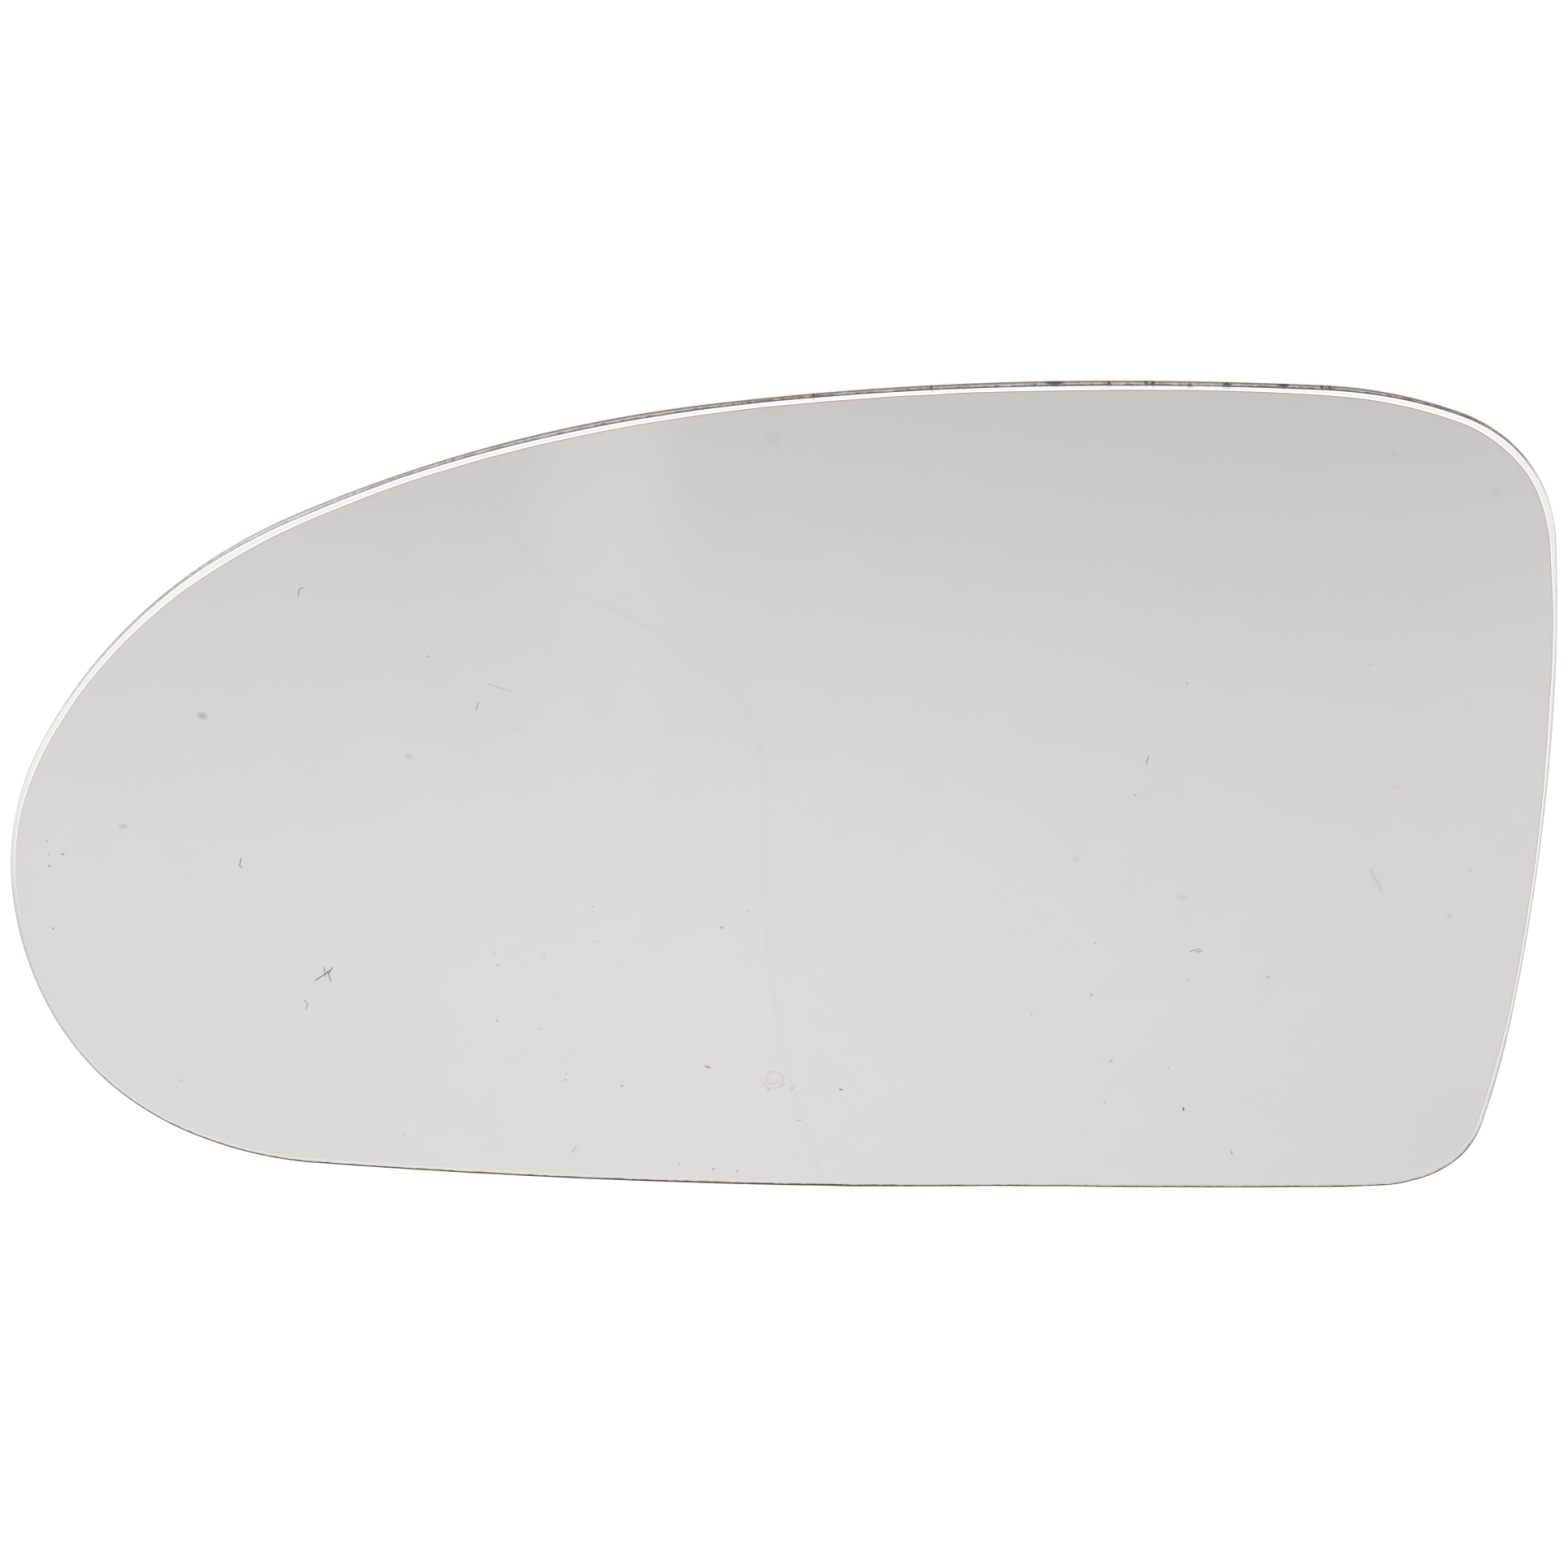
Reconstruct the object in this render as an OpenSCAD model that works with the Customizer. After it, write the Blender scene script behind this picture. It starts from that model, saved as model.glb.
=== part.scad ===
// Flat left-hand door mirror glass with a hand-ground front seam and a plain cut rear edge.
// The front faces +Z, +X is to the viewer's right and +Y is up. The rear face lies on Z = 0,
// and the origin is the middle of the overall width and height.
// The outline is a closed run of tangent arcs, four in each quarter between its lowest,
// rightmost, highest and leftmost points. Headings are the direction of travel along it,
// anticlockwise, in degrees from +X. In each quarter the two corner radii are chosen,
// and the two side radii are worked out so that the arcs end exactly on the extreme points.

/* [Glass] */
// Overall width, in mm
glass_w = 178; // [160:0.5:200]
// Overall height, in mm
glass_h = 103; // [94:0.5:114]
// Thickness of the sheet, in mm
glass_t = 2; // [1.8:0.1:3]

/* [Extreme points] */
// Distance of the lowest point to the right of the middle
lowest_x = 24; // [10:0.1:40]
// Distance of the rightmost point above the middle
rightmost_y = 15.7; // [8:0.1:22]
// Distance of the highest point to the right of the middle
highest_x = 37.4; // [26:0.1:42]
// Distance of the leftmost point above the middle
leftmost_y = -9.8; // [-12:0.1:-6]

/* [Lower right corner] */
// Heading where the bottom edge ends
lower_right_from = 0.4; // [0.3:0.1:2]
// Radius of the tight part, after the bottom edge
lower_right_tight_r = 11.8; // [8:0.05:16]
// Heading where the tight part ends
lower_right_mid = 75.4; // [70:0.1:78]
// Radius of the slack part, before the right edge
lower_right_slack_r = 131; // [80:1:180]
// Heading where the right edge starts
lower_right_to = 81.7; // [79:0.1:84]

/* [Upper right corner] */
// Heading where the right edge ends
upper_right_from = 94.5; // [93:0.1:96]
// Radius of the tight part, after the right edge
upper_right_tight_r = 17.6; // [14:0.1:22]
// Heading where the tight part ends
upper_right_mid = 158.7; // [154:0.1:163]
// Radius of the slack part, before the top edge
upper_right_slack_r = 50.2; // [40:0.1:70]
// Heading where the top edge starts
upper_right_to = 177.3; // [176:0.1:178.5]

/* [Upper left corner] */
// Heading where the top edge ends
upper_left_from = 187.1; // [185:0.1:190]
// Radius of the shallow part, after the top edge
upper_left_shallow_r = 162; // [140:0.1:180]
// Heading where the shallow part ends
upper_left_mid = 204.8; // [200:0.1:210]
// Radius of the shoulder, before the left edge
upper_left_shoulder_r = 64.2; // [55:0.1:72]
// Heading where the left edge starts
upper_left_to = 243.5; // [240:0.1:250]

/* [Lower left corner] */
// Heading where the left edge ends
lower_left_from = 294.2; // [288:0.1:300]
// Radius of the upper part, after the left edge
lower_left_upper_r = 33.4; // [30:0.1:40]
// Heading where the upper part ends
lower_left_mid = 332.9; // [325:0.1:340]
// Radius of the lower part, before the bottom edge
lower_left_lower_r = 42.3; // [38:0.1:46]
// Heading where the bottom edge starts
lower_left_to = 355.2; // [354:0.1:356]

/* [Ground seam] */
// Slope of the ground seam, in degrees from the front face
seam_angle = 45; // [35:1:55]
// Width of the seam at the lowest point, seen from the front
seam_bottom = 1.15; // [0.3:0.05:1.2]
// Width of the seam in the middle of the lower right corner
seam_lower_right = 1.05; // [0.3:0.05:1.2]
// Width of the seam at the rightmost point
seam_right = 0.6; // [0.3:0.05:1.2]
// Width of the seam in the middle of the upper right corner
seam_upper_right = 0.65; // [0.3:0.05:1.2]
// Width of the seam at the highest point
seam_top = 0.35; // [0.3:0.05:1.2]
// Width of the seam in the middle of the upper left corner
seam_upper_left = 0.6; // [0.3:0.05:1.2]
// Width of the seam at the leftmost point
seam_left = 0.55; // [0.3:0.05:1.2]
// Width of the seam in the middle of the lower left corner
seam_lower_left = 0.75; // [0.3:0.05:1.2]

/* [Hidden] */

// How far the cutting shapes run past the glass on every side.
spare = 3;
// How far a facet may lie inside the circle that it stands for, where a mesh is drawn.
facet_gap = 0.01;

// The outward normal of the outline where it travels at heading h.
function outward(h) = [sin(h), -cos(h)];

// The number of facets for a radius, a multiple of four so that the circle's extreme points are kept.
function facets(r) = 4 * ceil(45 / acos(1 - facet_gap / r));

// The radii of one quarter's first and last arcs, which bring it from its start point to its end.
function side_radii(from, to, h, tight, slack) =
    let (first = outward(h[1]) - outward(h[0]),
         last = outward(h[4]) - outward(h[3]),
         rest = to - from - tight * (outward(h[2]) - outward(h[1])) - slack * (outward(h[3]) - outward(h[2])),
         scale = cross(first, last))
    [cross(rest, last) / scale, cross(first, rest) / scale];

// The four radii of one quarter in their order.
function quarter_radii(from, to, h, tight, slack) =
    let (side = side_radii(from, to, h, tight, slack))
    [side[0], tight, slack, side[1]];

// Each quarter's headings, from one extreme point to the next.
headings = [
    [0, lower_right_from, lower_right_mid, lower_right_to, 90],
    [90, upper_right_from, upper_right_mid, upper_right_to, 180],
    [180, upper_left_from, upper_left_mid, upper_left_to, 270],
    [270, lower_left_from, lower_left_mid, lower_left_to, 360]
];
corner_radii = [
    [lower_right_tight_r, lower_right_slack_r],
    [upper_right_tight_r, upper_right_slack_r],
    [upper_left_shallow_r, upper_left_shoulder_r],
    [lower_left_upper_r, lower_left_lower_r]
];
extremes = [
    [lowest_x, -glass_h / 2],
    [glass_w / 2, rightmost_y],
    [highest_x, glass_h / 2],
    [-glass_w / 2, leftmost_y]
];
seam_at_extremes = [seam_bottom, seam_right, seam_top, seam_left];
seam_at_corners = [seam_lower_right, seam_upper_right, seam_upper_left, seam_lower_left];

// The extreme points of the face, which lie inside the outline by the seam's width.
face_extremes = [for (q = [0:3]) extremes[q] - seam_at_extremes[q] * outward(90 * q)];

// How far each of a quarter's arcs leads per unit of its radius, up to heading m.
function moves(h, m) = [for (k = [0:3]) outward(min(max(m, h[k]), h[k + 1])) - outward(h[k])];

// The seam's width in the middle of a corner, if both its radii shrink by this much on the face.
function corner_seam(q, shrink) =
    let (h = headings[q],
         r = corner_radii[q],
         m = (h[1] + h[3]) / 2,
         edge = quarter_radii(extremes[q], extremes[(q + 1) % 4], h, r[0], r[1]),
         face = quarter_radii(face_extremes[q], face_extremes[(q + 1) % 4], h, r[0] - shrink, r[1] - shrink))
    (extremes[q] - face_extremes[q] + (edge - face) * moves(h, m)) * outward(m);

// The width grows evenly with the shrinking, so two trial values give the one that is wanted.
function face_shrink(q) =
    let (none = corner_seam(q, 0),
         one = corner_seam(q, 1))
    (seam_at_corners[q] - none) / (one - none);

edge_radii = [for (q = [0:3])
    each quarter_radii(extremes[q], extremes[(q + 1) % 4], headings[q], corner_radii[q][0], corner_radii[q][1])];
face_radii = [for (q = [0:3])
    let (s = face_shrink(q))
    each quarter_radii(face_extremes[q], face_extremes[(q + 1) % 4], headings[q],
                       corner_radii[q][0] - s, corner_radii[q][1] - s)];
arc_headings = [for (q = [0:3]) for (k = [0:3]) headings[q][k], 360];
arcs = len(edge_radii);

// The points where arcs meet, one after the other from the lowest point.
function meeting_points(from, radii, i = 0) =
    i == arcs ? [from]
    : let (step = radii[i] * (outward(arc_headings[i + 1]) - outward(arc_headings[i])))
      concat([from], meeting_points(from + step, radii, i + 1));

edge_points = meeting_points(extremes[0], edge_radii);
face_points = meeting_points(face_extremes[0], face_radii);

// A move in two steps, so that no digit is lost where numbers are kept to six figures.
module place(v) {
    steps_per_mm = 10;
    coarse = [for (x = v) round(x * steps_per_mm) / steps_per_mm];
    translate(coarse) translate(v - coarse) children();
}

// A plate with the given outline. The profile's edge is a list of [distance past the outline, height].
// A flat core stops short of the edge, and around it each arc is a wedge cut out of a turned ring.
module plate(points, radii, profile) {
    low = min([for (p = profile) p[1]]);
    high = max([for (p = profile) p[1]]);
    past = max([for (p = profile) p[0]]) + spare;
    depth = min(radii) / 2;
    inner = [for (i = [0:arcs - 1]) points[i] - depth * outward(arc_headings[i])];
    translate([0, 0, low]) linear_extrude(high - low) polygon(inner);
    for (i = [0:arcs - 1]) {
        r = radii[i];
        a = outward(arc_headings[i]);
        b = outward(arc_headings[i + 1]);
        turn = arc_headings[i + 1] - arc_headings[i];
        centre = points[i] - r * a;
        tip = centre + (r + past) / cos(turn / 2) * outward(arc_headings[i] + turn / 2);
        ring = r - (r - depth) * cos(turn / 2) + depth / 2;
        intersection() {
            translate([0, 0, low]) linear_extrude(high - low)
                polygon([inner[i], points[i] + past * a, tip, points[i + 1] + past * b, inner[(i + 1) % arcs]]);
            place(centre) rotate_extrude($fn = facets(r)) place([r, 0])
                polygon(concat(profile, [[-ring, high], [-ring, low]]));
        }
    }
}

module mirror_glass() {
    color("lightgray") intersection() {
        plate(edge_points, edge_radii, [[0, 0], [0, glass_t + spare]]);
        plate(face_points, face_radii, [[(glass_t + spare) / tan(seam_angle), -spare], [0, glass_t]]);
    }
}

mirror_glass();
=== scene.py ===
"""Looks of a flat left-hand door mirror glass that lies face up on a pale floor.

The sheet has a chromed front, a seam ground round the front edge by hand, a cut edge below it and
a clear back. One closed mesh carries these finishes, and stands for the CAD solid.
Sizes are in millimetres, and are turned to metres where a mesh or the camera is made.
"""

import bpy
import numpy as np
from mathutils import Matrix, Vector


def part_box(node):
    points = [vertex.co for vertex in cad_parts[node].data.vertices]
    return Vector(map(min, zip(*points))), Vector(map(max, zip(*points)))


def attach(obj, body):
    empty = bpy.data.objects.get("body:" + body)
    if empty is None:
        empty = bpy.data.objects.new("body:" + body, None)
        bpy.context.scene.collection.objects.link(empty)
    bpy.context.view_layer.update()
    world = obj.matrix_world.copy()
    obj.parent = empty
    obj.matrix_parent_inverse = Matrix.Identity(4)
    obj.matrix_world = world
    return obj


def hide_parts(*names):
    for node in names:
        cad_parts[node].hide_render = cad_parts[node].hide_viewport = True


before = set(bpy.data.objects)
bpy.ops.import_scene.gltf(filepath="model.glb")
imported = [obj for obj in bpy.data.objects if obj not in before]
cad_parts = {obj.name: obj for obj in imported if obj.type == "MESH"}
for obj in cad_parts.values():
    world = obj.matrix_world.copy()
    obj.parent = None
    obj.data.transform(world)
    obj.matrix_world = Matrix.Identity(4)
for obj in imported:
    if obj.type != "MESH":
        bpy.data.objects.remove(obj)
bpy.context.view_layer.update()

MM = 0.001
NODE = "mirror_glass"
LOW, HIGH = (np.array(corner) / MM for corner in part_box(NODE))
GLASS_W, GLASS_H, GLASS_T = HIGH - LOW

# Outline, as the CAD solid has it. Headings are the direction of travel in degrees, anticlockwise
# from the lowest point. Each corner has the heading where it starts, where its first radius gives
# way to its second, and where it ends, and then the two radii.
EXTREMES = np.array([
    [24, -GLASS_H / 2],
    [GLASS_W / 2, 15.7],
    [37.4, GLASS_H / 2],
    [-GLASS_W / 2, -9.8],
])
LOWER_RIGHT = (0.4, 75.4, 81.7, 11.8, 131)
UPPER_RIGHT = (94.5, 158.7, 177.3, 17.6, 50.2)
UPPER_LEFT = (187.1, 204.8, 243.5, 162, 64.2)
LOWER_LEFT = (294.2, 332.9, 355.2, 33.4, 42.3)
CORNERS = np.array([LOWER_RIGHT, UPPER_RIGHT, UPPER_LEFT, LOWER_LEFT])
QUARTERS = np.array([0, 90, 180, 270])

# Ground seam: its slope, and its width at the four extreme points and in the middle of each corner.
SEAM_SLOPE = 45
SEAM_AT_EXTREMES = np.array([1.15, 0.6, 0.35, 0.55])
SEAM_AT_CORNERS = np.array([1.05, 0.65, 0.6, 0.75])

# Steps of the mesh along the outline, about 0.12 mm each.
STEPS = 4000


def outward(heading):
    """The unit vector that points out of the outline where it travels at this heading: (sin h, -cos h)."""
    h = np.radians(heading)
    return np.stack([np.sin(h), -np.cos(h)], axis=-1)


HEADINGS = np.append(np.column_stack([QUARTERS, CORNERS[:, :3]]).ravel(), 360)


def arc_radii(extremes, shrink=np.zeros(4)):
    """Radii of the sixteen tangent arcs, four a quarter. The middle two are the corner's, less what it
    shrinks by, and the outer two solve start + sum of radius * change of outward vector = end."""
    steps = np.diff(outward(HEADINGS), axis=0).reshape(4, 4, 2)
    corner = CORNERS[:, 3:] - shrink[:, None]
    rest = np.roll(extremes, -1, axis=0) - extremes - np.einsum("qk,qkj->qj", corner, steps[:, 1:3])
    sides = np.linalg.solve(steps[:, [0, 3]].transpose(0, 2, 1), rest[:, :, None])[:, :, 0]
    return np.column_stack([sides[:, 0], corner, sides[:, 1]]).ravel()


def trace(start, radii, heading):
    """The outline's point at each heading: start + the sum over all arcs of radius * (outward vector
    at the heading, kept within the arc, less the one where the arc begins)."""
    kept = np.clip(np.asarray(heading, float)[:, None], HEADINGS[:-1], HEADINGS[1:])
    return start + np.einsum("k,ikj->ij", radii, outward(kept) - outward(HEADINGS[:-1]))


def seam_width(heading, shrink):
    """How far the face's own outline lies inside the glass's at each heading: the two points'
    difference along the outward vector."""
    face_extremes = EXTREMES - SEAM_AT_EXTREMES[:, None] * outward(QUARTERS)
    edge = trace(EXTREMES[0], arc_radii(EXTREMES), heading)
    face = trace(face_extremes[0], arc_radii(face_extremes, shrink), heading)
    return np.sum((edge - face) * outward(heading), axis=1)


def corner_shrink():
    """What each corner's radii shrink by on the face. The width in the middle of a corner grows evenly
    with it, so two trial values give the one that is wanted."""
    middle = (CORNERS[:, 0] + CORNERS[:, 2]) / 2
    none, one = seam_width(middle, np.zeros(4)), seam_width(middle, np.ones(4))
    return (SEAM_AT_CORNERS - none) / (one - none)


# The run along the outline: equal steps of its length, with the heading at each.
ARC_LENGTHS = arc_radii(EXTREMES) * np.radians(np.diff(HEADINGS))
PERIMETER = ARC_LENGTHS.sum()
RUN = np.arange(STEPS) * PERIMETER / STEPS
HEADING = np.interp(RUN, np.append(0, np.cumsum(ARC_LENGTHS)), HEADINGS)
EDGE = trace(EXTREMES[0], arc_radii(EXTREMES), HEADING)
OUTWARD = outward(HEADING)


def ripple(shortest, longest, seed, waves=40):
    """Noise along the run that closes on itself, mostly within -1 to 1: the mean of cosines with whole
    numbers of waves round the outline and random phases, scaled up by the root of their number."""
    chance = np.random.default_rng(seed)
    count = chance.integers(int(PERIMETER / longest), int(PERIMETER / shortest) + 1, waves)
    phase = chance.uniform(0, 2 * np.pi, waves)
    angle = 2 * np.pi * RUN[:, None] / PERIMETER * count + phase
    return np.cos(angle).sum(axis=1) / np.sqrt(waves)


# Cracks in the top edge: the run of each in mm, and half its width at the front arris and at the back
# one. A negative half width says that the crack ends before it gets there.
CRACKS = [
    (173.8, 0.18, 0.22), (174.7, 0.18, 0.22), (179, 0.2, 0.9), (185.4, 1.1, 0.05), (189.6, 0.6, -0.3),
    (193.7, 0.2, 0.25), (194.5, 0.2, 0.25), (198.7, 0.5, 0), (204.8, 0.4, 1.5), (218.7, 0.35, -0.1),
    (232, 0.4, 0.1),
]
# The least half width of a crack, in mm.
CRACK_LEAST = 0.01


def cracks(share):
    """How far into a crack each step is, from 0 to 1, where this share of the way down the edge is passed:
    1 - distance / half width, with a half width that changes evenly on the way down to its least."""
    deepest = np.zeros(STEPS)
    for run, front, back in CRACKS:
        half = np.clip(front + (back - front) * share, CRACK_LEAST, None)
        deepest = np.maximum(deepest, 1 - np.abs(RUN - run) / half)
    return deepest


# How far the hand-ground seam wanders, and how much of an arris is rubbed off.
SEAM_WANDER = 0.015
ARRIS_ROUGH = 0.02
# Nicks in an arris: how deep they go for each unit of noise above this limit.
NICK_DEPTH = 0.04
NICK_ABOVE = 1.0
# How deep a crack goes into the cut edge, and how far the edge waves.
CRACK_DEPTH = 0.08
WALL_WAVE = 0.015
# Rings of the mesh on the face, in mm inside the rim: the first ends the long triangles to the middle,
# and the second bounds the film's bare border. Those on the seam and the cut edge are shares of the way.
FACE_MARGIN = 2.0
RIM_LINE = 0.15
SEAM_RINGS = [0.1, 0.3, 0.5, 0.7]
WALL_RINGS = [0.12, 0.25, 0.4, 0.6, 0.85]
# A chip's form: its ring on the seam, its blunt edge and its ring on the cut edge, as multiples of its
# size, and the same for a chip of the back arris, with a margin of flat back beside it.
CHIP_ON_SEAM = 1.2
CHIP_INSIDE, CHIP_DOWN = 0.75, 0.35
CHIP_ON_WALL = 1.3
REAR_CHIP_UP = 2
BACK_MARGIN = 0.3
# Where the grinder leaned in or held back: how much wider and deeper the seam is than its even course,
# in mm at each run.
LEANS = np.array([
    (0, 0.05, 0.28), (10, 0.03, 0.2), (15, 0, 0.02), (30, -0.1, -0.18), (43, -0.1, -0.18), (51, 0.35, 0.42),
    (58, -0.05, -0.15), (64, 0, 0.2), (70, 0, 0), (80, -0.17, 0), (103, -0.14, 0.05), (115, -0.04, -0.1),
    (128, -0.1, 0), (141, 0.2, 0), (148, -0.03, 0.25), (160, -0.08, 0.38), (172, 0, 0.18), (186, -0.14, 0.24),
    (204, -0.03, 0.1), (222, -0.1, 0.24), (238, -0.12, 0.36), (249, 0, 0.06), (262, 0, 0), (280, -0.1, 0.23),
    (292, 0.02, -0.15), (300, 0.1, 0), (309, -0.04, 0.35), (328, -0.16, 0.22), (340, 0, 0), (375, 0.12, 0.12),
    (382, 0, -0.05), (440, -0.04, -0.04), (472, 0, 0),
])
# How dark the grinder left the front arris and how worn the cut edge looks, by heading, from 0 to 1:
# dark along the bottom and the top, and cleaner round the left tip and up the right side.
ARRIS_HEADINGS = [0, 30, 60, 76, 82, 90, 105, 120, 132, 165, 185,
                  195, 203, 210, 220, 228, 240, 262, 278, 305, 335]
ARRIS_DARKNESS = [1, 0.85, 0.8, 0.6, 0.45, 0.4, 0.4, 0.4, 0.75, 0.95, 0.9,
                  0.8, 0.55, 0.45, 0.5, 0.45, 0.25, 0.3, 0.4, 0.6, 0.85]
# How wide the dark line is on the seam, in mm by heading: wide along the bottom, and a hair along the top.
# The line is partly the rough arris and partly painted shade, where the edge looks dark through the glass.
SHADE_LINE_HEADINGS = [0, 0.08, 0.15, 0.4, 5, 20, 45, 60, 74, 85, 100, 125, 140,
                 200, 240, 262, 285, 300, 320, 340, 355, 356.5, 358, 359.7]
SHADE_LINE_WIDTHS = [1.14, 1.0, 0.74, 0.68, 0.7, 0.85, 0.57, 0.52, 0.4, 0.38, 0.24, 0.19, 0.03,
               0.03, 0.19, 0.27, 0.28, 0.36, 0.62, 0.76, 0.78, 0.87, 0.97, 1.09]
# How white the frosted seam is painted, by heading, as painted light and shade: whitest along the top,
# greyest along the bottom.
SEAM_LIGHT_HEADINGS = [0, 40, 65, 78, 88, 100, 132, 165, 200,
                  225, 240, 262, 272, 280, 300, 320, 340, 356]
SEAM_PAINTED_LIGHT = [0, 0.1, 0.15, 0.4, 0.72, 0.76, 0.86, 0.92, 0.88,
                   0.84, 0.76, 0.6, 0.25, 0, 0.1, 0.3, 0.4, 0.4]
# How bare the film's border is, by heading: a tan line along the top, and none along the bottom.
BARE_HEADINGS = [0, 65, 80, 96, 120, 160, 185, 203, 230, 258, 272]
BARENESS = [0, 0.05, 0.45, 0.5, 0.7, 0.8, 0.8, 0.6, 0.45, 0.3, 0]


def rubbed(seed):
    """How much of an arris is rubbed off at each step, in mm: a little everywhere, never below nothing."""
    return ARRIS_ROUGH * np.clip(1 + 0.5 * ripple(0.3, 1, seed), 0, None)


def profile_rings():
    """Each ring of points round the sheet, from the front face round the edge to the back: how far it lies
    inside the outline, its height, its distance along the profile from the rim and from the arris, and how
    far it is into a crack."""
    wider, deeper = (np.interp(RUN, LEANS[:, 0], values, period=PERIMETER) for values in LEANS[:, 1:].T)
    even = seam_width(HEADING, corner_shrink()) + SEAM_WANDER * ripple(6, 40, seed=3)
    wide, deep = even + wider, even * np.tan(np.radians(SEAM_SLOPE)) + deeper
    slant = np.hypot(wide, deep)
    arris = GLASS_T - deep
    nicks = np.clip(ripple(0.5, 2.5, seed=5) - NICK_ABOVE, 0, None) * NICK_DEPTH
    chip = nicks + rubbed(seed=7) + 0.5 * CRACK_DEPTH * cracks(0)
    rear_nicks = np.clip(ripple(0.5, 3, seed=11) - NICK_ABOVE, 0, None) * NICK_DEPTH
    rear_chip = rear_nicks + rubbed(seed=13)
    nothing = np.zeros(STEPS)
    rings = []

    def ring(band, inside, height, from_rim, from_arris, cracked=nothing):
        """Adds one ring. A single number counts for all its steps."""
        rings.append({"band": band, "inside": inside + nothing, "height": height + nothing,
                      "rim_mm": from_rim + nothing, "arris_mm": from_arris + nothing, "cracked": cracked})

    for extra in (FACE_MARGIN, RIM_LINE, 0):
        ring("face", wide + extra, GLASS_T, extra, slant + extra)
    upper = 1 - (ARRIS_ROUGH + CHIP_ON_SEAM * chip) / wide
    for share in [*SEAM_RINGS, upper]:
        ring("seam", wide * (1 - share), GLASS_T - deep * share, -slant * share, slant * (1 - share))
    ring("seam", CHIP_INSIDE * chip, arris - CHIP_DOWN * chip, -slant, 0)
    top = arris - CHIP_ON_WALL * chip
    ring("wall", nothing, top, -slant, top - arris, cracks(0))
    bottom = REAR_CHIP_UP * rear_chip
    for share in WALL_RINGS:
        height = top + (bottom - top) * share
        hollow = np.clip(WALL_WAVE * (1 + ripple(2, 12, seed=int(100 * share)) / 2), 0, None)
        cracked = cracks(share)
        ring("wall", hollow + CRACK_DEPTH * cracked, height, -slant, height - arris, cracked)
    ring("wall", nothing, bottom, -slant, bottom - arris, cracks(1))
    ring("wall", CHIP_INSIDE * rear_chip, 0, -slant, -arris, cracks(1))
    ring("back", REAR_CHIP_UP * rear_chip + BACK_MARGIN, 0, -slant, -arris)
    return rings


# The bands round the sheet, in the order of its materials, and how far from the rim and the arris, in mm,
# the middles of the front and the back count as.
BANDS = ["face", "seam", "wall", "back"]
MIDDLE = [50, -50]


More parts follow.
